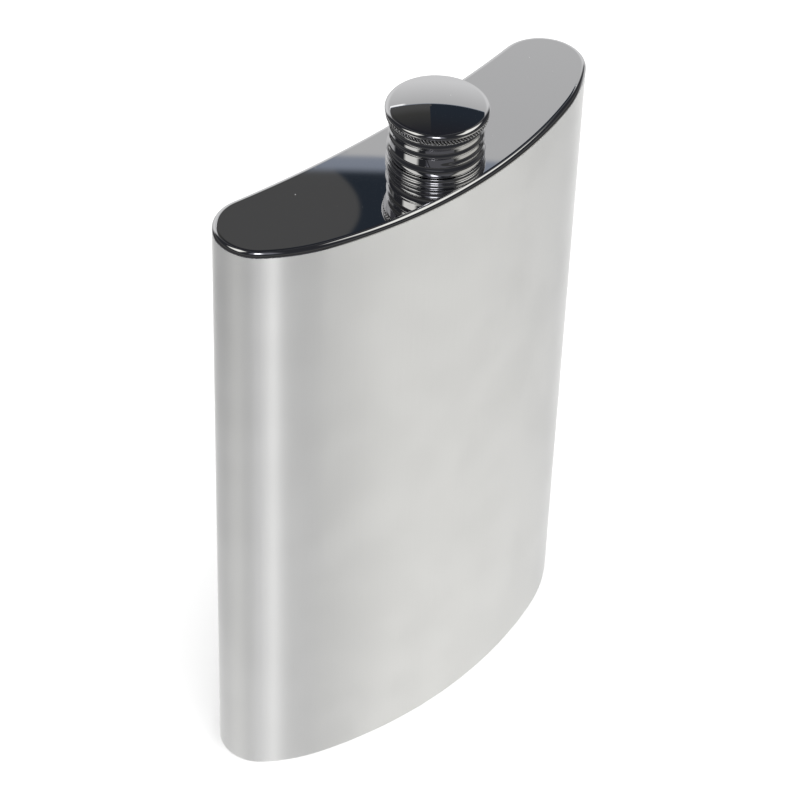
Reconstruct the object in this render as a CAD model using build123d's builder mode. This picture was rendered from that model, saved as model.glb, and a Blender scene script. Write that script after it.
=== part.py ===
from build123d import *

import os
from math import asin, cos, degrees, radians, sin

# Kidney-shaped steel hip flask with a screw cap. Millimetres, +Z up.
# The origin is on the table, below the middle of the body. The convex face looks towards -Y.

# Plan of the body: a wide front arc, tighter shoulders, small round ends and a hollow back.
body_width = 94.0
body_thickness = 24.6        # front to back at the middle
front_radius = 100.0
front_half_angle = 18.9      # degrees, from the middle of the front to the shoulder
shoulder_radius = 36.6
end_radius = 8.8

# Sheet metal
wall_height = 140.2
wall_sheet = 0.5
wall_foot_radius = 0.4
plate_sheet = 0.8
rim_height = 1.2             # the polished rim stands on the wall
rim_radius = 1.1
flange_depth = 4.0           # plate flanges, welded inside the wall
foot_width = 3.0             # flat ring that the flask stands on
dish_depth = 1.2             # the base panel is pressed up by this much

# Neck and its soldered collar. Heights are above the top plate.
neck_setback = 2.0           # from mid-thickness towards the front
bore_radius = 7.2
neck_radius = 8.2
neck_hole_gap = 0.02
neck_lip = 10.5
lip_radius = 0.45
neck_flange_radius = 8.9
neck_flange_sheet = 0.8
collar_waist_radius = 9.1
collar_ring_height = 1.1
upper_ring_radius = 9.5
lower_ring_radius = 9.65

# Screw thread, right-handed
thread_pitch = 2.1
thread_depth = 0.4
thread_root_width = 1.1
thread_crest_width = 0.4
thread_embed = 0.25          # how far a ridge is sunk into what carries it
thread_phase = -135.0        # degrees round the neck, where the thread starts
thread_start = 5.2           # height of its first crest there
neck_thread_turns = 2.0
skirt_ridge_turns = 2.25
skirt_ridge_depth = 0.3      # how far the rolled thread shows outside the skirt

# Cap: a threaded skirt with a top disc, a sealing liner and a domed crown
skirt_foot = 2.65
skirt_sheet = 0.5
skirt_bore_radius = 8.45
hem_top = 4.85
hem_middle = 3.75
hem_radius = 9.5
hem_foot_radius = 9.15
hem_bore_radius = 8.8
liner_thickness = 1.0
liner_gap = 0.05             # above and below the liner
liner_radius = 8.35
crown_foot = 10.75
crown_radius = 9.9
crown_sheet = 0.5
milled_height = 1.05
milled_count = 88
milled_depth = 0.22
milled_margin = 0.1          # plain edge above and below the teeth
bead_radius = 10.05
bead_middle = 12.25           # height of the bead's fullest radius
bead_top = 12.95
bead_top_radius = 9.4
dome_height = 0.75           # above the bead

# Plan geometry that follows from the dimensions above
turn_to_shoulder = radians(front_half_angle)
turn_to_end = asin(
    (body_width / 2 - end_radius - (front_radius - shoulder_radius) * sin(turn_to_shoulder))
    / (shoulder_radius - end_radius)
)
end_x = body_width / 2 - end_radius
end_y = (
    front_radius * (1 - cos(turn_to_shoulder))
    + shoulder_radius * (cos(turn_to_shoulder) - cos(turn_to_end))
    + end_radius * cos(turn_to_end)
)
body_depth = end_y + end_radius
front_y = -body_depth / 2
hollow = body_thickness - end_y
back_radius = (end_x**2 + hollow**2 - end_radius**2) / (2 * (end_radius - hollow))
back_half_angle = degrees(asin(end_x / (back_radius + end_radius)))
shoulder_angle = degrees(turn_to_end - turn_to_shoulder)
end_angle = 180 + back_half_angle - degrees(turn_to_end)

# Heights and the neck's axis
top = wall_height + rim_height
neck_y = front_y + body_thickness / 2 - neck_setback
neck_axis = Axis((0, neck_y, 0), (0, 0, 1))
neck_section = Plane(origin=(0, neck_y, top), x_dir=(1, 0, 0), z_dir=(0, -1, 0))
collar_top = 2 * collar_ring_height
liner_foot = neck_lip + liner_gap
disc_foot = liner_foot + liner_thickness + liner_gap
disc_top = disc_foot + skirt_sheet
skirt_radius = skirt_bore_radius + skirt_sheet
milled_top = crown_foot + milled_height
dome_top = bead_top + dome_height
crown_bore_radius = crown_radius - milled_depth - crown_sheet


def kidney(inset):
    """Plan of the body, drawn this far inside its outer face."""
    with BuildSketch() as plan:
        with BuildLine():
            front = JernArc((0, front_y + inset), (1, 0), front_radius - inset, front_half_angle)
            shoulder = JernArc(front @ 1, front % 1, shoulder_radius - inset, shoulder_angle)
            end = JernArc(shoulder @ 1, shoulder % 1, end_radius - inset, end_angle)
            JernArc(end @ 1, end % 1, back_radius + inset, -back_half_angle)
            mirror(about=Plane.YZ)
        make_face()
    return plan.sketch


def thread(start, turns, root_radius, depth):
    """Helical ridge round the neck's axis, from its root radius to its crest radius.

    The crest starts at this height on the side that thread_phase names.
    """
    helix = Helix(
        pitch=thread_pitch,
        height=thread_pitch * turns,
        radius=root_radius,
        center=(0, 0, 0),
        mode=Mode.PRIVATE,
    )
    profile_plane = Plane(origin=helix @ 0, x_dir=(1, 0, 0), z_dir=helix % 0)
    with BuildPart() as ridge:
        with BuildSketch(profile_plane):
            with BuildLine():
                Polyline(
                    (-thread_embed, -thread_root_width / 2),
                    (0, -thread_root_width / 2),
                    (depth, -thread_crest_width / 2),
                    (depth, thread_crest_width / 2),
                    (0, thread_root_width / 2),
                    (-thread_embed, thread_root_width / 2),
                    close=True,
                )
            make_face()
        sweep(path=helix, is_frenet=True)
    placed = Location((0, neck_y, top + start), (0, 0, thread_phase))
    return ridge.part.moved(placed)


def export(piece, label):
    """Names a finished piece and writes it to its own file."""
    piece.part.label = label
    export_step(piece.part, f"parts/{label}.step")


wall_plan = kidney(0)
inside_plan = kidney(wall_sheet)
inside_flange_plan = kidney(wall_sheet + plate_sheet)

os.makedirs("parts", exist_ok=True)

# Body wall: one sheet wrapped into a kidney-shaped tube, rounded along its foot
with BuildPart() as body_wall:
    with BuildSketch(Plane.XY):
        add(wall_plan)
        add(inside_plan, mode=Mode.SUBTRACT)
    extrude(amount=wall_height)
    fillet(body_wall.faces().sort_by(Axis.Z)[0].outer_wire().edges(), radius=wall_foot_radius)
export(body_wall, "body_wall")

# Base plate: a pressed tray with a flat ring to stand on and a flange up inside the wall
with BuildPart() as base_plate:
    with BuildSketch(Plane.XY):
        add(inside_plan)
    extrude(amount=plate_sheet)
    with BuildSketch(Plane.XY):
        add(inside_plan)
        add(inside_flange_plan, mode=Mode.SUBTRACT)
    extrude(amount=flange_depth)
    with BuildSketch(Plane.XY):
        add(kidney(wall_sheet + foot_width - plate_sheet))
    extrude(amount=dish_depth + plate_sheet)
    with BuildSketch(Plane.XY):
        add(kidney(wall_sheet + foot_width))
    extrude(amount=dish_depth, mode=Mode.SUBTRACT)
export(base_plate, "base_plate")

# Top plate: a pressed tray, its rounded rim on the wall and its flange down inside it
with BuildPart() as top_plate:
    with BuildSketch(Plane.XY.offset(wall_height)):
        add(wall_plan)
    extrude(amount=rim_height)
    fillet(top_plate.faces().sort_by(Axis.Z)[-1].edges(), radius=rim_radius)
    with BuildSketch(Plane.XY.offset(wall_height - flange_depth)):
        add(inside_plan)
    extrude(amount=flange_depth)
    with BuildSketch(Plane.XY.offset(wall_height - flange_depth)):
        add(inside_flange_plan)
    extrude(amount=flange_depth + rim_height - plate_sheet, mode=Mode.SUBTRACT)
    with BuildSketch(Plane.XY.offset(wall_height)):
        with Locations((0, neck_y)):
            Circle(neck_radius + neck_hole_gap)
    extrude(amount=rim_height, mode=Mode.SUBTRACT)
export(top_plate, "top_plate")

# Neck: a threaded spout through the top plate, with a rolled lip and a flange under the plate
with BuildPart() as neck:
    with BuildSketch(neck_section):
        with BuildLine():
            Polyline(
                (bore_radius, neck_lip),
                (bore_radius, -plate_sheet - neck_flange_sheet),
                (neck_flange_radius, -plate_sheet - neck_flange_sheet),
                (neck_flange_radius, -plate_sheet),
                (neck_radius, -plate_sheet),
                (neck_radius, neck_lip),
                close=True,
            )
        make_face()
    revolve(axis=neck_axis)
    fillet(neck.edges().filter_by(GeomType.CIRCLE).group_by(Axis.Z)[-1], radius=lip_radius)
    add(thread(thread_start, neck_thread_turns, neck_radius, thread_depth))
export(neck, "neck")

# Neck collar: two soldered rings, turned from one piece, round the foot of the neck
with BuildPart() as neck_collar:
    with BuildSketch(neck_section):
        with BuildLine():
            Polyline(
                (collar_waist_radius, 0),
                (neck_radius, 0),
                (neck_radius, collar_top),
                (collar_waist_radius, collar_top),
            )
            ThreePointArc(
                (collar_waist_radius, collar_top),
                (upper_ring_radius, (collar_ring_height + collar_top) / 2),
                (collar_waist_radius, collar_ring_height),
            )
            ThreePointArc(
                (collar_waist_radius, collar_ring_height),
                (lower_ring_radius, collar_ring_height / 2),
                (collar_waist_radius, 0),
            )
        make_face()
    revolve(axis=neck_axis)
export(neck_collar, "neck_collar")

# Cap skirt: thread shell with a top disc and a flared hem; the thread shows through the sheet
with BuildPart() as cap_skirt:
    with BuildSketch(neck_section):
        with BuildLine():
            hem = ThreePointArc(
                (hem_foot_radius, skirt_foot),
                (hem_radius, hem_middle),
                (skirt_radius, hem_top),
            )
            Polyline(
                hem @ 1,
                (skirt_radius, disc_top),
                (0, disc_top),
                (0, disc_foot),
                (skirt_bore_radius, disc_foot),
                (skirt_bore_radius, hem_top),
                (hem_bore_radius, hem_top - skirt_sheet),
                (hem_bore_radius, skirt_foot),
                hem @ 0,
            )
        make_face()
    revolve(axis=neck_axis)
    add(thread(thread_start, skirt_ridge_turns, skirt_radius, skirt_ridge_depth))
    # The groove inside runs out into the hem, one turn below, so that the neck's thread can leave
    add(
        thread(
            thread_start - thread_pitch,
            skirt_ridge_turns + 1,
            skirt_bore_radius,
            thread_depth,
        ),
        mode=Mode.SUBTRACT,
    )
export(cap_skirt, "cap_skirt")

# Cap liner: a soft disc that seals on the neck's lip
with BuildPart() as cap_liner:
    with BuildSketch(Plane.XY.offset(top + liner_foot)):
        with Locations((0, neck_y)):
            Circle(liner_radius)
    extrude(amount=liner_thickness)
export(cap_liner, "cap_liner")

# Cap crown: a hollow domed shell with a milled grip ring, closed in on the skirt at its foot
with BuildPart() as cap_crown:
    with BuildSketch(neck_section):
        with BuildLine():
            dome = TangentArc((0, dome_top), (bead_top_radius, bead_top), tangent=(1, 0))
            bead = ThreePointArc(
                (crown_radius, milled_top),
                (bead_radius, bead_middle),
                (bead_top_radius, bead_top),
            )
            lining = TangentArc(
                (0, dome_top - crown_sheet),
                (crown_bore_radius, bead_top - crown_sheet),
                tangent=(1, 0),
            )
            Line(dome @ 0, lining @ 0)
            Polyline(
                lining @ 1,
                (crown_bore_radius, crown_foot + crown_sheet),
                (skirt_radius, crown_foot + crown_sheet),
                (skirt_radius, crown_foot),
                (crown_radius, crown_foot),
                bead @ 0,
            )
        make_face()
    revolve(axis=neck_axis)
    with BuildSketch(Plane.XY.offset(top + crown_foot + milled_margin)):
        with Locations((0, neck_y)):
            with PolarLocations(crown_radius, milled_count):
                RegularPolygon(radius=milled_depth, side_count=4)
    extrude(amount=milled_height - 2 * milled_margin, mode=Mode.SUBTRACT)
export(cap_crown, "cap_crown")
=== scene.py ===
from math import asin, cos, pi, radians, sin

import bmesh
import bpy
import numpy as np
from mathutils import Matrix, Vector


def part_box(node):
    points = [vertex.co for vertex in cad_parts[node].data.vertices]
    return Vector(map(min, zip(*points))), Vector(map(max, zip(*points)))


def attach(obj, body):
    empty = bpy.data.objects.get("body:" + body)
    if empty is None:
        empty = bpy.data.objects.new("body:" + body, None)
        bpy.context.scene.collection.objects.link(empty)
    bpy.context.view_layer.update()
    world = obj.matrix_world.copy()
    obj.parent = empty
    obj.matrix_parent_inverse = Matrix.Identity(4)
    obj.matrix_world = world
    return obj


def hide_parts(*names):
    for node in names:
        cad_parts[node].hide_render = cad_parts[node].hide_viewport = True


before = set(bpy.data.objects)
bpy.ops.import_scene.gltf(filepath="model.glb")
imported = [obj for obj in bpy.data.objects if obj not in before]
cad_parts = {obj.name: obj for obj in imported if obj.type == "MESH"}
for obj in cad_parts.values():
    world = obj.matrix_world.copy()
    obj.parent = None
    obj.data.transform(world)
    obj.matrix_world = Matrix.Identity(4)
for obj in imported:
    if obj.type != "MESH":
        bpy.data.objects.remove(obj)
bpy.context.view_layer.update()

# Hip flask. The CAD bodies are the frame; every visible piece is rebuilt here at a finer grain,
# from the same sizes, so that its polished and satin surfaces reflect cleanly. Metres.
MM = 0.001

# ---------------------------------------------------------------- places, read from the frame
plate_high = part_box("top_plate")[1]
base_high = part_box("base_plate")[1]
collar_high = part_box("neck_collar")[1]
wall_low, wall_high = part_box("body_wall")
liner_low, liner_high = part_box("cap_liner")
neck_low, neck_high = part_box("neck")
skirt_low, skirt_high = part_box("cap_skirt")
crown_low, crown_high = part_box("cap_crown")

top = plate_high.z
front_y = wall_low.y
body_width = wall_high.x - wall_low.x
neck_y = (liner_low.y + liner_high.y) / 2

# ---------------------------------------------------------------- sizes shared with the CAD
front_radius = 100.0 * MM
front_half_angle = radians(18.9)
shoulder_radius = 36.6 * MM
end_radius = 8.8 * MM
body_thickness = 24.6 * MM
wall_sheet = 0.5 * MM
wall_foot_radius = 0.4 * MM
plate_sheet = 0.8 * MM
rim_radius = 1.1 * MM
flange_depth = 4.0 * MM
foot_width = 3.0 * MM
dish_depth = 1.2 * MM
bore_radius = 7.2 * MM
neck_radius = 8.2 * MM
lip_radius = 0.45 * MM
thread_pitch = 2.1 * MM
thread_phase = radians(-135.0)
thread_start = 5.2 * MM
thread_width = 1.3 * MM
thread_depth = 0.38 * MM

# How finely the pieces are drawn
front_step = 0.5 * MM
shoulder_step = 0.4 * MM
end_step = 0.22 * MM
back_step = 0.6 * MM
turned_segments = 256
plain_segments = 128
sharp_angle = radians(40)    # edges that turn by more than this stay crisp


# ---------------------------------------------------------------- plan of the body
def arc_points(centre, radius, start, sweep, step):
    """Points and outward normals along an arc, without its last point."""
    count = max(2, round(abs(sweep) * abs(radius) / step))
    angles = start + sweep * np.arange(count) / count
    normals = np.column_stack([np.cos(angles), np.sin(angles)])
    return np.asarray(centre) + radius * normals, normals


def kidney():
    """The outline's points and outward normals, anticlockwise from the middle of the front."""
    turn_shoulder = front_half_angle
    end_x = body_width / 2 - end_radius
    turn_end = asin(
        (end_x - (front_radius - shoulder_radius) * sin(turn_shoulder))
        / (shoulder_radius - end_radius)
    )
    front_centre = np.array([0.0, front_y + front_radius])
    shoulder_centre = front_centre + (front_radius - shoulder_radius) * np.array(
        [sin(turn_shoulder), -cos(turn_shoulder)]
    )
    end_centre = shoulder_centre + (shoulder_radius - end_radius) * np.array(
        [sin(turn_end), -cos(turn_end)]
    )
    hollow = front_y + body_thickness - end_centre[1]
    back_radius = (end_centre[0] ** 2 + hollow**2 - end_radius**2) / (
        2 * (end_radius - hollow)
    )
    back_half = asin(end_centre[0] / (back_radius + end_radius))
    back_centre = np.array([0.0, front_y + body_thickness + back_radius])
    down = -pi / 2
    pieces = [
        arc_points(front_centre, front_radius, down, turn_shoulder, front_step),
        arc_points(
            shoulder_centre,
            shoulder_radius,
            down + turn_shoulder,
            turn_end - turn_shoulder,
            shoulder_step,
        ),
        arc_points(
            end_centre, end_radius, down + turn_end, pi + back_half - turn_end, end_step
        ),
    ]
    points, normals = (np.concatenate(part) for part in zip(*pieces))
    count = round(2 * back_half * back_radius / back_step)
    angles = down + back_half - 2 * back_half * np.arange(count + 1) / count
    back_normals = -np.column_stack([np.cos(angles), np.sin(angles)])
    back_points = back_centre - back_radius * back_normals
    left = slice(None, 0, -1)
    mirror = np.array([-1.0, 1.0])
    points = np.concatenate([points, back_points, points[left] * mirror])
    normals = np.concatenate([normals, back_normals, normals[left] * mirror])
    return points, normals


outline, outline_normals = kidney()


# ---------------------------------------------------------------- mesh building
def arc(centre, radius, start, end, count=14):
    """Profile points along an arc, angles in degrees, both ends included."""
    return [
        (centre[0] + radius * cos(radians(a)), centre[1] + radius * sin(radians(a)))
        for a in np.linspace(start, end, count + 1)
    ]


def line(start, end, count=1):
    """Profile points along a line, both ends included."""
    return [
        (start[0] + (end[0] - start[0]) * t, start[1] + (end[1] - start[1]) * t)
        for t in np.linspace(0, 1, count + 1)
    ]


def solid_from_rings(name, rings, closed):
    """A mesh of quads between closed rings of points. A ring of one point is a pole.

    closed joins the last ring to the first. Faces turn their outsides outwards.
    """
    mesh = bpy.data.meshes.new(name)
    vertices, starts = [], []
    for ring in rings:
        starts.append((len(vertices), len(ring)))
        vertices.extend(map(tuple, ring))
    faces = []
    pairs = list(zip(starts, starts[1:]))
    if closed:
        pairs.append((starts[-1], starts[0]))
    for (a, count_a), (b, count_b) in pairs:
        count = max(count_a, count_b)
        for i in range(count):
            j = (i + 1) % count
            if count_a == 1:
                faces.append((a, b + j, b + i))
            elif count_b == 1:
                faces.append((a + i, a + j, b))
            else:
                faces.append((a + i, a + j, b + j, b + i))
    mesh.from_pydata(vertices, [], faces)
    return finish_mesh(name, mesh)


def finish_mesh(name, mesh):
    """Turns the faces outwards, shades them smooth up to sharp_angle and links the object."""
    bm = bmesh.new()
    bm.from_mesh(mesh)
    bmesh.ops.recalc_face_normals(bm, faces=bm.faces)
    bm.to_mesh(mesh)
    bm.free()
    mesh.shade_smooth()
    mesh.set_sharp_from_angle(angle=sharp_angle)
    piece = bpy.data.objects.new(name, mesh)
    bpy.context.scene.collection.objects.link(piece)
    return piece


def lathe(name, profile, segments, push=None, closed=True):
    """A turned piece round the neck's axis, from (radius, height above the plate) points.

    push(angles, radius, height) gives how far points move outwards.
    """
    angles = np.linspace(0, 2 * pi, segments, endpoint=False)
    rings = []
    for radius, height in profile:
        if radius == 0:
            rings.append([(0.0, neck_y, top + height)])
            continue
        radii = radius + (push(angles, radius, height) if push else np.zeros(segments))
        rings.append(
            np.column_stack(
                [
                    radii * np.cos(angles),
                    neck_y + radii * np.sin(angles),
                    np.full(segments, top + height),
                ]
            )
        )
    return solid_from_rings(name, rings, closed)


def inset_ring(inset, height):
    """The body's outline drawn this far inside its outer face, at this height."""
    points = outline - outline_normals * inset
    return np.column_stack([points, np.full(len(points), height)])


def fill_flat(bm, loops):
    """Fills the flat region between these loops of vertices with triangles."""
    edges = []
    for loop in loops:
        for a, b in zip(loop, loop[1:] + loop[:1]):
            edge = bm.edges.get((a, b)) or bm.edges.new((a, b))
            edges.append(edge)
    bmesh.ops.triangle_fill(bm, edges=edges, use_beauty=True, use_dissolve=False)


def pressed_plate(name, top_profile, bottom_profile, hole=None):
    """A plate in the body's outline: two stacks of rings, joined at both outer ends.

    Each profile runs from the shared outer edge to its flat middle, as (inset, height).
    hole is the radius of a round hole on the neck's axis.
    """
    bm = bmesh.new()

    def ring_vertices(points):
        return [bm.verts.new(p) for p in points]

    def bridge(a, b):
        for i in range(len(a)):
            j = (i + 1) % len(a)
            bm.faces.new((a[i], a[j], b[j], b[i]))

    outer = ring_vertices(inset_ring(*top_profile[0]))
    middles = []
    for profile in (top_profile, bottom_profile):
        previous = outer
        for inset, height in profile[1:]:
            ring = ring_vertices(inset_ring(inset, height))
            bridge(previous, ring)
            previous = ring
        middles.append(previous)
    hole_rings = []
    if hole:
        angles = np.linspace(0, 2 * pi, plain_segments, endpoint=False)
        for profile in (top_profile, bottom_profile):
            hole_rings.append(
                ring_vertices(
                    np.column_stack(
                        [
                            hole * np.cos(angles),
                            neck_y + hole * np.sin(angles),
                            np.full(len(angles), profile[-1][1]),
                        ]
                    )
                )
            )
        bridge(*hole_rings)
    for index, middle in enumerate(middles):
        fill_flat(bm, [middle] + ([hole_rings[index]] if hole else []))
    mesh = bpy.data.meshes.new(name)
    bm.to_mesh(mesh)
    bm.free()
    return finish_mesh(name, mesh)


def smooth(x):
    """0 to 1 with level ends."""
    x = np.clip(x, 0, 1)
    return x * x * (3 - 2 * x)


def helix_ridge(angles, height, start, turns, width, depth):
    """Height of a rounded helical ridge at these angles round the neck, fading at both ends."""
    run_out = 0.08           # of a turn
    fraction = ((angles - thread_phase) / (2 * pi)) % 1.0
    ridge = np.zeros(len(angles))
    for whole in range(int(turns) + 2):
        turn = fraction + whole
        off_crest = np.abs(height - start - thread_pitch * turn) / (width / 2)
        ends = smooth(turn / run_out) * smooth((turns - turn) / run_out)
        crest = 0.5 + 0.5 * np.cos(pi * np.clip(off_crest, 0, 1))
        ridge = np.maximum(ridge, depth * crest * ends)
    return ridge


# ---------------------------------------------------------------- materials
def node(tree, kind, links=(), **settings):
    """Adds a shader node. links gives each input, by name or index, a socket or a value."""
    made = tree.nodes.new(kind)
    for key, value in settings.items():
        setattr(made, key, value)
    for key, value in dict(links).items():
        socket = made.inputs[key]
        if isinstance(value, bpy.types.NodeSocket):
            tree.links.new(value, socket)
        else:
            socket.default_value = value
    return made


def maths(tree, operation, a, b=0.0):
    return node(tree, "ShaderNodeMath", {0: a, 1: b}, operation=operation).outputs[0]


def remap(tree, value, low, high, to_low=0.0, to_high=1.0, smoothly=True):
    """value from low..high to to_low..to_high, clamped."""
    return node(
        tree,
        "ShaderNodeMapRange",
        {0: value, 1: low, 2: high, 3: to_low, 4: to_high},
        interpolation_type="SMOOTHSTEP" if smoothly else "LINEAR",
    ).outputs[0]


def mix_colour(tree, factor, a, b):
    """Colour a where factor is 0 and b where it is 1."""
    made = node(tree, "ShaderNodeMix", data_type="RGBA")
    for socket, value in zip((made.inputs[0], made.inputs[6], made.inputs[7]), (factor, a, b)):
        if isinstance(value, bpy.types.NodeSocket):
            tree.links.new(value, socket)
        else:
            socket.default_value = value
    return made.outputs[2]


def object_noise(tree, size, stretch=(1, 1, 1), detail=2.0, roughness=0.5, turn=(0, 0, 0)):
    """Noise whose grains are this many metres across, longer by stretch along each axis."""
    place = node(tree, "ShaderNodeTexCoord").outputs["Object"]
    mapping = node(
        tree,
        "ShaderNodeMapping",
        {
            "Vector": place,
            "Rotation": [radians(a) for a in turn],
            "Scale": [1 / (size * s) for s in stretch],
        },
        vector_type="POINT",
    )
    return node(
        tree,
        "ShaderNodeTexNoise",
        {"Vector": mapping.outputs[0], "Scale": 1.0, "Detail": detail, "Roughness": roughness},
    ).outputs[0]


def new_material(name, metallic, colour, roughness):
    """A material and its tree, with an unlinked Principled shader."""
    material = bpy.data.materials.new(name)
    material.use_nodes = True
    tree = material.node_tree
    shader = tree.nodes["Principled BSDF"]
    shader.inputs["Metallic"].default_value = metallic
    shader.inputs["Base Color"].default_value = (*colour, 1)
    shader.inputs["Roughness"].default_value = roughness
    return material, tree, shader


def grey(value):
    return (value, value, value, 1)


def add_bump(tree, shader, heights, strength, depth):
    """Roughens the surface by these heights, this many metres deep."""
    bump = node(tree, "ShaderNodeBump", {"Strength": strength, "Distance": depth, "Height": heights})
    tree.links.new(bump.outputs[0], shader.inputs["Normal"])


def satin_steel():
    """Sheet steel with a fine, even grain that draws highlights out along the height."""
    material, tree, shader = new_material("satin_steel", 1.0, (0.72, 0.72, 0.71), 0.42)
    shader.inputs["Anisotropic"].default_value = 1.0
    grain = object_noise(tree, 0.10 * MM, (1, 1, 60), detail=3.0)
    strands = object_noise(tree, 0.6 * MM, (1, 1, 50), detail=2.0)
    clouds = object_noise(tree, 14 * MM, detail=3.0)
    fine_part = maths(tree, "MULTIPLY", grain, 0.6)
    lines = maths(tree, "ADD", fine_part, maths(tree, "MULTIPLY", strands, 0.4))
    rough = remap(tree, lines, 0.3, 0.7, 0.405, 0.425, smoothly=False)
    rough = maths(tree, "ADD", rough, remap(tree, clouds, 0.3, 0.7, -0.01, 0.01))
    tree.links.new(rough, shader.inputs["Roughness"])
    tone = remap(tree, maths(tree, "ADD", lines, maths(tree, "MULTIPLY", clouds, 0.3)), 0.4, 0.9)
    colour = mix_colour(tree, tone, (0.715, 0.715, 0.705, 1), (0.73, 0.73, 0.72, 1))
    tree.links.new(colour, shader.inputs["Base Color"])
    add_bump(tree, shader, lines, 0.2, 0.001 * MM)
    upright = node(tree, "ShaderNodeCombineXYZ", {2: 1.0})
    tree.links.new(upright.outputs[0], shader.inputs["Tangent"])
    return material


def polished_steel():
    """Mirror-polished steel with faint hairlines, a few hazy smudges and specks of dust.

    An attribute marks the cap's milled band: its crests are duller than the polish and painted
    paler, a painted highlight, and its grooves are painted dark, which is painted shade.
    """
    polish = (0.70, 0.70, 0.71)
    dust_spacing = 1.7 * MM
    material, tree, shader = new_material("polished_steel", 1.0, polish, 0.02)
    haze = object_noise(tree, 6 * MM, detail=4.0, roughness=0.6)
    rough = remap(tree, haze, 0.60, 0.80, 0.016, 0.05)
    place = node(tree, "ShaderNodeTexCoord").outputs["Object"]
    dust = node(tree, "ShaderNodeTexVoronoi", {"Vector": place, "Scale": 1 / dust_spacing}).outputs
    chance = node(tree, "ShaderNodeSeparateColor", {0: dust["Color"]}).outputs[0]
    size = remap(tree, chance, 0.75, 1.0, 0.0, 0.10, smoothly=False)
    speck = remap(tree, maths(tree, "SUBTRACT", size, dust["Distance"]), 0.0, 0.02)
    rough = maths(tree, "MAXIMUM", rough, maths(tree, "MULTIPLY", speck, 0.45))
    milled_band_mark = node(tree, "ShaderNodeAttribute", attribute_name="milled_band_mark").outputs["Fac"]
    # Masks of the milled band's crests and grooves: the crest mask sets real dullness and a painted
    # highlight, the groove mask painted shade
    on_crest = remap(tree, milled_band_mark, 0.1, 0.3)
    groove_shade = remap(tree, milled_band_mark, 0.45, 0.85)
    rough = maths(tree, "MAXIMUM", rough, maths(tree, "MULTIPLY", on_crest, 0.45))
    tree.links.new(rough, shader.inputs["Roughness"])
    colour = mix_colour(tree, speck, (*polish, 1), (0.80, 0.80, 0.79, 1))
    # Painted highlight: the crests are painted paler. Painted shade: the grooves are painted dark.
    colour = mix_colour(tree, on_crest, colour, grey(0.95))
    colour = mix_colour(tree, groove_shade, colour, grey(0.13))
    tree.links.new(colour, shader.inputs["Base Color"])
    metal = maths(tree, "SUBTRACT", 1.0, maths(tree, "MULTIPLY", speck, 0.3))
    tree.links.new(metal, shader.inputs["Metallic"])
    hair_a = object_noise(tree, 0.07 * MM, (40, 1, 1), detail=1.0, turn=(0, 0, 35))
    hair_b = object_noise(tree, 0.09 * MM, (50, 1, 1), detail=1.0, turn=(0, 0, -50))
    hairs = maths(tree, "ADD", hair_a, hair_b)
    add_bump(tree, shader, hairs, 0.03, 0.0006 * MM)
    return material


def seal():
    """Soft off-white sealing disc, matt with a fine grain."""
    material, tree, shader = new_material("seal", 0.0, (0.82, 0.80, 0.74), 0.6)
    grain = object_noise(tree, 0.15 * MM, detail=3.0)
    clouds = object_noise(tree, 3 * MM, detail=2.0)
    tree.links.new(remap(tree, grain, 0.3, 0.7, 0.5, 0.7), shader.inputs["Roughness"])
    colour = mix_colour(tree, clouds, (0.78, 0.76, 0.69, 1), (0.85, 0.83, 0.78, 1))
    tree.links.new(colour, shader.inputs["Base Color"])
    add_bump(tree, shader, grain, 0.4, 0.01 * MM)
    return material


materials = {"satin_steel": satin_steel(), "polished_steel": polished_steel(), "seal": seal()}


def place(piece, node_name, body, slot):
    """Puts a piece on its body, in the place of its CAD node, with its slot's material."""
    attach(piece, body)
    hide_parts(node_name)
    piece.data.materials.clear()
    piece.data.materials.append(materials[slot])
    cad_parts[node_name].data.materials.clear()
    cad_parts[node_name].data.materials.append(materials[slot])
    return piece


# ---------------------------------------------------------------- body
support = 0.02 * MM          # rows this near a rounded edge keep the faces beside it flat
wall_rows = 60


def outer_arc(centre, radius, start, end, count=14):
    """An arc of (inset, height): angle 0 points outwards, 90 up."""
    return [
        (centre[0] - radius * cos(radians(a)), centre[1] + radius * sin(radians(a)))
        for a in np.linspace(start, end, count + 1)
    ]


seam = 0.05 * MM
wall_top = wall_high.z
wall_profile = (
    [(wall_sheet, 0), (wall_foot_radius + support, 0)]
    + outer_arc((wall_foot_radius, wall_foot_radius), wall_foot_radius, -90, 0)
    + line((0, wall_foot_radius + support), (0, wall_top - seam - support), wall_rows)
    + [(0, wall_top - seam), (seam, wall_top), (wall_sheet, wall_top)]
)
wall = solid_from_rings(
    "body_shell", [inset_ring(inset, height) for inset, height in wall_profile], closed=True
)
place(wall, "body_wall", "flask", "satin_steel")

plate_inner = wall_sheet + plate_sheet
rim_centre = (rim_radius, top - rim_radius)
plate_top = (
    [(0, wall_top), (0, top - rim_radius - support)]
    + outer_arc(rim_centre, rim_radius, 0, 90, 24)
    + [(rim_radius + support, top), (rim_radius + 8 * support, top)]
)
plate_bottom = [
    (0, wall_top),
    (wall_sheet, wall_top),
    (wall_sheet, wall_top - flange_depth),
    (plate_inner, wall_top - flange_depth),
    (plate_inner, top - plate_sheet),
]
plate = pressed_plate("top_panel", plate_top, plate_bottom, hole=neck_radius)
place(plate, "top_plate", "flask", "polished_steel")

base_flange = base_high.z
slope_width = 1.4 * MM
slope_under = foot_width - 0.4 * MM      # where the slope starts under the tray, from the wall
slope_over = foot_width - 0.9 * MM       # and inside it


def press_slope(start, height):
    """The rounded slope between the foot ring and the raised panel, as (inset, height)."""
    return [
        (wall_sheet + start + slope_width * t, height + dish_depth * smooth(t))
        for t in np.linspace(0, 1, 16)
    ]


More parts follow.
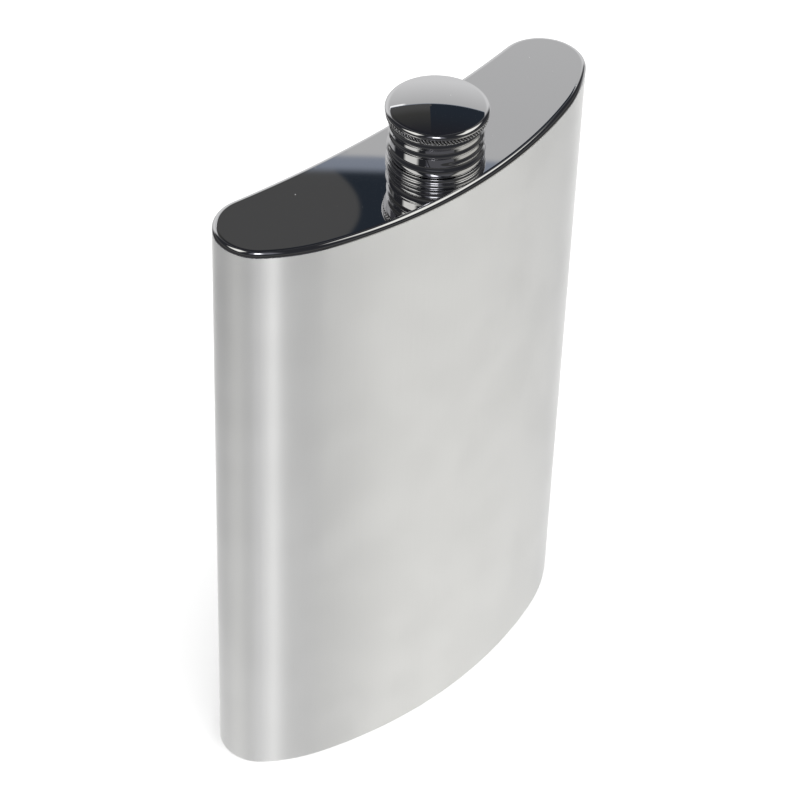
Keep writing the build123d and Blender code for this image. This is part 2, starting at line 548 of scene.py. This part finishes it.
base_bottom = [(wall_sheet, base_flange), (wall_sheet, 0)] + press_slope(slope_under, 0)
base_top = [
    (wall_sheet, base_flange),
    (plate_inner, base_flange),
    (plate_inner, plate_sheet),
] + press_slope(slope_over, plate_sheet)
base = pressed_plate("base_panel", base_top, base_bottom)
place(base, "base_plate", "flask", "satin_steel")

# ---------------------------------------------------------------- neck and collar
neck_lip = neck_high.z - top
neck_foot = neck_low.z - top
flange_radius = (neck_high.x - neck_low.x) / 2
collar_top = collar_high.z - top
lip_centre = neck_lip - lip_radius
neck_rows = 130
neck_profile = (
    [(bore_radius, neck_foot), (bore_radius, lip_centre - support)]
    + arc((bore_radius + lip_radius, lip_centre), lip_radius, 180, 90, 9)
    + arc((neck_radius - lip_radius, lip_centre), lip_radius, 90, 0, 10)
    + line((neck_radius, lip_centre - support), (neck_radius, collar_top), neck_rows)
    + [
        (neck_radius, neck_foot + plate_sheet),
        (flange_radius, neck_foot + plate_sheet),
        (flange_radius, neck_foot),
    ]
)


neck_thread_turns = 2.0


def neck_thread(angles, radius, height):
    if abs(radius - neck_radius) > support or height < collar_top:
        return np.zeros(len(angles))
    return helix_ridge(
        angles, height, thread_start, neck_thread_turns, thread_width, thread_depth
    )


neck = lathe("neck_tube", neck_profile, turned_segments, neck_thread)
place(neck, "neck", "flask", "polished_steel")

ring_height = collar_top / 2
waist_radius = 9.25 * MM
ring_radii = (9.65 * MM, 9.5 * MM)       # lower ring, upper ring


def collar_ring(radius, middle):
    """The outside of one rounded ring of the collar, from its foot to its top."""
    swell = radius - waist_radius
    return [
        (waist_radius + swell * cos(radians(a)), middle + ring_height / 2 * sin(radians(a)))
        for a in np.linspace(-90, 90, 25)
    ]


collar_profile = (
    [(neck_radius, 0)]
    + collar_ring(ring_radii[0], ring_height / 2)
    + collar_ring(ring_radii[1], ring_height * 3 / 2)
    + [(neck_radius, collar_top)]
)
collar = lathe("neck_rings", collar_profile, turned_segments)
place(collar, "neck_collar", "flask", "polished_steel")

# ---------------------------------------------------------------- cap
skirt_radius = 8.95 * MM
skirt_bore_radius = 8.45 * MM
skirt_sheet = 0.5 * MM
hem_top = 4.85 * MM
hem_middle = 3.75 * MM
hem_radius = (skirt_high.x - skirt_low.x) / 2
hem_bore_radius = 8.8 * MM
corner = 0.3 * MM
hem_drop = 0.27 * MM         # how far the hem reaches towards the collar, below its CAD foot
skirt_foot = skirt_low.z - top - hem_drop
disc_top = skirt_high.z - top
disc_foot = disc_top - skirt_sheet
crown_foot = crown_low.z - top
edge = 0.12 * MM
hem_foot_radius = 9.15 * MM
hem_heights = np.linspace(hem_top, skirt_foot + edge, 28)
skirt_outer_rows = 110
skirt_inner_rows = 90
skirt_ridge_turns = 2.25
skirt_ridge_width = 1.5 * MM
skirt_ridge_depth = 0.32 * MM

def hem_outer(height):
    """Radius of the hem's outer face: out from the skirt to its fullest, then in to its foot."""
    if height > hem_middle:
        t = (hem_top - height) / (hem_top - hem_middle)
        return skirt_radius + (hem_radius - skirt_radius) * smooth(t)
    t = (hem_middle - height) / (hem_middle - skirt_foot)
    return hem_radius - (hem_radius - hem_foot_radius) * t * t


skirt_profile = (
    [(0, disc_top), (skirt_radius - corner - support, disc_top)]
    + arc((skirt_radius - corner, disc_top - corner), corner, 90, 0, 6)
    + line((skirt_radius, disc_top - corner - support), (skirt_radius, crown_foot), 3)
    + line((skirt_radius, crown_foot - support), (skirt_radius, hem_top + support), skirt_outer_rows)
    + [(hem_outer(h), h) for h in hem_heights]
    + arc((hem_foot_radius - edge, skirt_foot + edge), edge, 0, -90, 5)
    + [(hem_bore_radius, skirt_foot), (hem_bore_radius, hem_top - skirt_sheet)]
    + line((skirt_bore_radius, hem_top), (skirt_bore_radius, disc_foot), skirt_inner_rows)
    + [(0, disc_foot)]
)


def skirt_thread(angles, radius, height):
    """The rolled thread: a ridge outside and a groove inside, which starts one turn lower."""
    if abs(radius - skirt_radius) <= support and hem_top < height < crown_foot:
        return helix_ridge(
            angles, height, thread_start, skirt_ridge_turns, skirt_ridge_width, skirt_ridge_depth
        )
    if radius < skirt_bore_radius + support and height < disc_foot:
        return helix_ridge(
            angles,
            height,
            thread_start - thread_pitch,
            skirt_ridge_turns + 1,
            thread_width,
            thread_depth,
        )
    return np.zeros(len(angles))


skirt = lathe("cap_shell", skirt_profile, turned_segments, skirt_thread, closed=False)
place(skirt, "cap_skirt", "cap", "polished_steel")

liner_radius = (liner_high.x - liner_low.x) / 2
liner_foot = liner_low.z - top
liner_top = liner_high.z - top
dent = 0.06 * MM             # that the neck's lip has left in the liner
dent_start = bore_radius - 0.3 * MM
dent_end = neck_radius + 0.05 * MM
dent_slope = 0.15 * MM       # width of its steeper outer side
liner_profile = (
    [(0, liner_foot)]
    + line((dent_start, liner_foot), (bore_radius, liner_foot + dent), 4)
    + line((dent_end - dent_slope, liner_foot + dent), (dent_end, liner_foot), 4)
    + arc((liner_radius - edge, liner_foot + edge), edge, -90, 0, 5)
    + arc((liner_radius - edge, liner_top - edge), edge, 0, 90, 5)
    + [(0, liner_top)]
)
liner = lathe("seal_disc", liner_profile, plain_segments, closed=False)
place(liner, "cap_liner", "seal", "seal")

crown_radius = 9.9 * MM
crown_sheet = 0.5 * MM
bead_radius = (crown_high.x - crown_low.x) / 2
dome_top = crown_high.z - top
dome_curve = 62.5 * MM
edge_width = 1.05 * MM        # of the rounding that turns the dome down into the bead
edge_drop = 0.64 * MM
tooth_count = 88
tooth_segments = 12
tooth_depth = 0.24 * MM
tooth_slant = 1.3            # teeth that a groove crosses from its top to its foot
tooth_fade = 0.12            # of the band's height, at its top and foot
milled_height = 1.05 * MM
milled_top = crown_foot + milled_height
milled_bulge = 0.20 * MM     # of the milled band's middle over its edges
crown_wall = 0.75 * MM
crown_bore = crown_radius - crown_wall
edge_start = bead_radius - edge_width


def dome(apex, radius):
    """Height of the dome at a radius from its middle, for a dome with this apex."""
    return apex - dome_curve + (dome_curve * dome_curve - radius * radius) ** 0.5


def dome_edge(t):
    """Point on the rounded edge. t runs from 0 where it leaves the dome to 90 at the bead."""
    radius = edge_start + edge_width * sin(radians(t))
    return radius, dome(dome_top, radius) - edge_drop * (1 - cos(radians(t)))


bead_height = dome_edge(90)[1]
band_edge = crown_radius - milled_bulge


def milled_band(t):
    """Point on the milled band, which swells a little. t runs from 0 at its top to 1."""
    swell = milled_bulge * (1 - (2 * t - 1) ** 2)
    return band_edge + swell, milled_top - milled_height * t


under_bead = [
    (
        band_edge + (bead_radius - band_edge) * cos(radians(a)),
        bead_height - (bead_height - milled_top) * sin(radians(a)),
    )
    for a in np.linspace(0, 90, 13)[1:-1]
]
crown_profile = (
    [(r, dome(dome_top, r)) for r in np.linspace(0, edge_start, 30)[:-1]]
    + [dome_edge(t) for t in np.linspace(0, 90, 31)]
    + under_bead
    + [milled_band(t) for t in np.linspace(0, 1, 25)]
    + [
        (skirt_radius, crown_foot),
        (skirt_radius, crown_foot + crown_sheet),
        (crown_bore, crown_foot + crown_sheet),
    ]
    + [(r, dome(dome_top - crown_sheet, r)) for r in np.linspace(crown_bore, 0, 12)]
)


def crown_teeth(angles, radius, height):
    """Slanted grooves in the milled band, which fade out towards its top and foot."""
    if not (band_edge - support < radius and crown_foot <= height <= milled_top):
        return np.zeros(len(angles))
    t = (milled_top - height) / milled_height
    fade = smooth(t / tooth_fade) * smooth((1 - t) / tooth_fade)
    phase = tooth_count * angles - 2 * pi * tooth_slant * t
    groove = (0.5 - 0.5 * np.cos(phase)) ** 0.7
    return -tooth_depth * groove * fade


def mark_milled_band(piece):
    """Stores where the milled band is: 0 off it, 0.3 on its crests and 1 deep in its grooves."""
    marks = piece.data.attributes.new("milled_band_mark", "FLOAT", "POINT")
    for vertex, mark in zip(piece.data.vertices, marks.data):
        t = (milled_top - (vertex.co.z - top)) / milled_height
        radius = (vertex.co.x**2 + (vertex.co.y - neck_y) ** 2) ** 0.5
        if 0 < t < 1 and radius > band_edge - tooth_depth - support:
            mark.value = 0.3 + 0.7 * (milled_band(t)[0] - radius) / tooth_depth


crown_segments = tooth_count * tooth_segments
crown = lathe("cap_top", crown_profile, crown_segments, crown_teeth, closed=False)
mark_milled_band(crown)
place(crown, "cap_crown", "cap", "polished_steel")


# ---------------------------------------------------------------- camera
aim = Vector((0.17, 3.84, 74.27)) * MM
view_azimuth = radians(-45.71)
view_elevation = radians(42.132)
view_roll = radians(2.142)
view_distance = 644.28 * MM
back = Vector(
    (
        sin(view_azimuth) * cos(view_elevation),
        -cos(view_azimuth) * cos(view_elevation),
        sin(view_elevation),
    )
)
level = Vector((cos(view_azimuth), sin(view_azimuth), 0))
upright = back.cross(level)
across = level * cos(view_roll) + upright * sin(view_roll)
upward = upright * cos(view_roll) - level * sin(view_roll)
camera = bpy.data.objects.new("camera", bpy.data.cameras.new("camera"))
bpy.context.scene.collection.objects.link(camera)
camera.data.sensor_width = 36.0
camera.data.lens = 139.86
camera.data.clip_start = 0.05
camera.data.clip_end = 50.0
place_matrix = Matrix((across, upward, back)).transposed().to_4x4()
place_matrix.translation = aim + back * view_distance
camera.matrix_world = place_matrix
bpy.context.scene.camera = camera


# ---------------------------------------------------------------- floor, room and lights
def direction(bearing, elevation):
    """Unit vector. Bearing 0 is behind the flask (+Y) and 90 is on its +X side, in degrees."""
    b, e = radians(bearing), radians(elevation)
    return Vector((sin(b) * cos(e), cos(b) * cos(e), sin(e)))


floor_radius = 6.0
floor_height = -0.02 * MM
floor_mesh = bpy.data.meshes.new("floor")
floor_mesh.from_pydata(
    [
        (floor_radius * cos(a), floor_radius * sin(a), floor_height)
        for a in np.linspace(0, 2 * pi, 96, endpoint=False)
    ],
    [],
    [range(96)],
)
floor = bpy.data.objects.new("floor", floor_mesh)
bpy.context.scene.collection.objects.link(floor)
floor_material, _, floor_shader = new_material("floor", 0.0, (0.86, 0.86, 0.86), 0.7)
floor_shader.inputs["Specular IOR Level"].default_value = 0.2
floor_mesh.materials.append(floor_material)

lit_height = 80 * MM         # of the point that the lights are aimed at


def soft_light(name, bearing, elevation, distance, size, power):
    """A rectangular light aimed at the flask's middle, from a distance in this direction."""
    light = bpy.data.lights.new(name, "AREA")
    light.shape = "RECTANGLE"
    light.size, light.size_y = size
    light.energy = power
    lamp = bpy.data.objects.new(name, light)
    bpy.context.scene.collection.objects.link(lamp)
    towards = direction(bearing, elevation)
    lamp.location = Vector((0, 0, lit_height)) + towards * distance
    lamp.rotation_mode = "QUATERNION"
    lamp.rotation_quaternion = towards.to_track_quat("Z", "Y")
    return lamp


satin_pieces = bpy.data.collections.new("satin_pieces")
for piece in (wall, base):
    satin_pieces.objects.link(piece)

# A narrow strip of light draws a bright line down the satin body's rounded end
strip_light = soft_light("strip_corner", 213, 12, 1.0, (0.03, 0.4), 0.6)
strip_light.visible_camera = False
strip_light.light_linking.receiver_collection = satin_pieces


def floor_pool(name, x, y, size, power):
    """A round light that shines up from the floor, on the satin pieces only."""
    pool = bpy.data.objects.new(name, bpy.data.lights.new(name, "AREA"))
    pool.data.shape = "DISK"
    pool.data.size = size
    pool.data.energy = power
    pool.location = (x, y, floor_height / 2)
    pool.rotation_euler = (pi, 0, 0)
    bpy.context.scene.collection.objects.link(pool)
    pool.light_linking.receiver_collection = satin_pieces


# Two wide pools of light on the floor stand in for its glow on the satin pieces
floor_pool("pool_round", 0.10, 0, 1.8, 6.4)
floor_pool("pool_front", 0.40, -0.45, 1.6, 2.7)

# The floor is lit from overhead. Reflections see the room below the horizon in its place.
key = soft_light("overhead", 200, 75, 1.6, (1.2, 1.2), 22)
key.visible_glossy = False
floor.visible_glossy = False
floor.visible_shadow = False

# The room that the steel reflects: its colours by bearing and elevation, in degrees
dark_ceiling = (0.021, 0.022, 0.028, 1)
cool_ceiling = (0.022, 0.029, 0.040, 1)
warm_ceiling = (0.055, 0.055, 0.052, 1)
ledge_colour = (0.26, 0.29, 0.35, 1)
dark_wall = (0.030, 0.031, 0.036, 1)
warm_light = (1.15, 1.14, 1.08, 1)
pale_floor = (0.62, 0.61, 0.57, 1)

world = bpy.data.worlds.new("room")
bpy.context.scene.world = world
world.use_nodes = True
sky = world.node_tree
sky.nodes.clear()
towards = node(sky, "ShaderNodeTexCoord").outputs["Generated"]
parts = node(sky, "ShaderNodeSeparateXYZ", {0: towards}).outputs
elevation = maths(sky, "MULTIPLY", maths(sky, "ARCSINE", parts[2]), 180 / pi)
bearing = maths(sky, "MULTIPLY", maths(sky, "ARCTAN2", parts[0], parts[1]), 180 / pi)


def window(value, low, high, soft):
    """1 between low and high, 0 outside, with soft edges."""
    return maths(
        sky,
        "MULTIPLY",
        remap(sky, value, low - soft, low),
        remap(sky, value, high + soft, high),
    )


back_wall = mix_colour(
    sky, remap(sky, elevation, 23.5, 37, smoothly=False), grey(0.80), grey(0.56)
)
side_wall = mix_colour(sky, remap(sky, elevation, 0, 20), grey(0.10), dark_wall)
behind = window(bearing, -4, 75, 14)
walls = mix_colour(sky, behind, side_wall, back_wall)
ground = mix_colour(sky, window(bearing, 6, 86, 16), grey(0.045), grey(0.62))
walls = mix_colour(sky, remap(sky, elevation, -1, 0), ground, walls)
strip = maths(
    sky, "MULTIPLY", window(bearing, 22, 36, 1.5), window(elevation, 36.9, 37.7, 0.15)
)
walls = mix_colour(sky, strip, walls, grey(1.3))
# Above the walls: a thin pale ledge, then a dark ceiling, greyer to the left of a rounded edge
from_middle = maths(sky, "SUBTRACT", elevation, 38.66)
bow = maths(sky, "MULTIPLY", maths(sky, "POWER", from_middle, 2.0), 1.2)
past_edge = maths(sky, "ADD", bearing, maths(sky, "MINIMUM", bow, 0.6))
left_ceiling = mix_colour(sky, remap(sky, elevation, 39, 44), grey(0.085), warm_ceiling)
ceiling = mix_colour(sky, remap(sky, past_edge, 44.68, 44.52), cool_ceiling, left_ceiling)
ceiling = mix_colour(sky, remap(sky, elevation, 40, 56), ceiling, dark_ceiling)
ledge = mix_colour(sky, remap(sky, elevation, 37.85, 38.02), ledge_colour, ceiling)
above = mix_colour(sky, remap(sky, elevation, 37.62, 37.72), walls, ledge)
room = mix_colour(sky, behind, walls, above)


# Soft-edged panels, one over the other: bearings, elevations, softness of each, colour
panels = (
    ((-84, -58), (38, 65), (11, 5), warm_light),
    ((-180, 0), (-62, -34), (1, 7), (0.10, 0.10, 0.11, 1)),
    ((112, 158), (-62, -34), (20, 7), pale_floor),
    ((110, 152), (41, 60), (18, 4), warm_light),
    ((-150, -118), (40, 66), (10, 8), (0.22, 0.22, 0.25, 1)),
    ((-140, -128), (45, 60), (7, 4), (2.6, 2.6, 2.7, 1)),
)
for bearings, elevations, soft, colour in panels:
    inside = maths(
        sky,
        "MULTIPLY",
        window(bearing, *bearings, soft[0]),
        window(elevation, *elevations, soft[1]),
    )
    room = mix_colour(sky, inside, room, colour)

# Reflections see the room, and everything else is lit by an even grey
paths = node(sky, "ShaderNodeLightPath").outputs
seen = node(sky, "ShaderNodeBackground", {"Color": grey(0.9), "Strength": 1.0})
reflected = node(sky, "ShaderNodeBackground", {"Color": room, "Strength": 1.0})
choose = node(
    sky,
    "ShaderNodeMixShader",
    {0: paths["Is Glossy Ray"], 1: seen.outputs[0], 2: reflected.outputs[0]},
)
node(sky, "ShaderNodeOutputWorld", {0: choose.outputs[0]})

bpy.context.scene.view_settings.view_transform = "Standard"
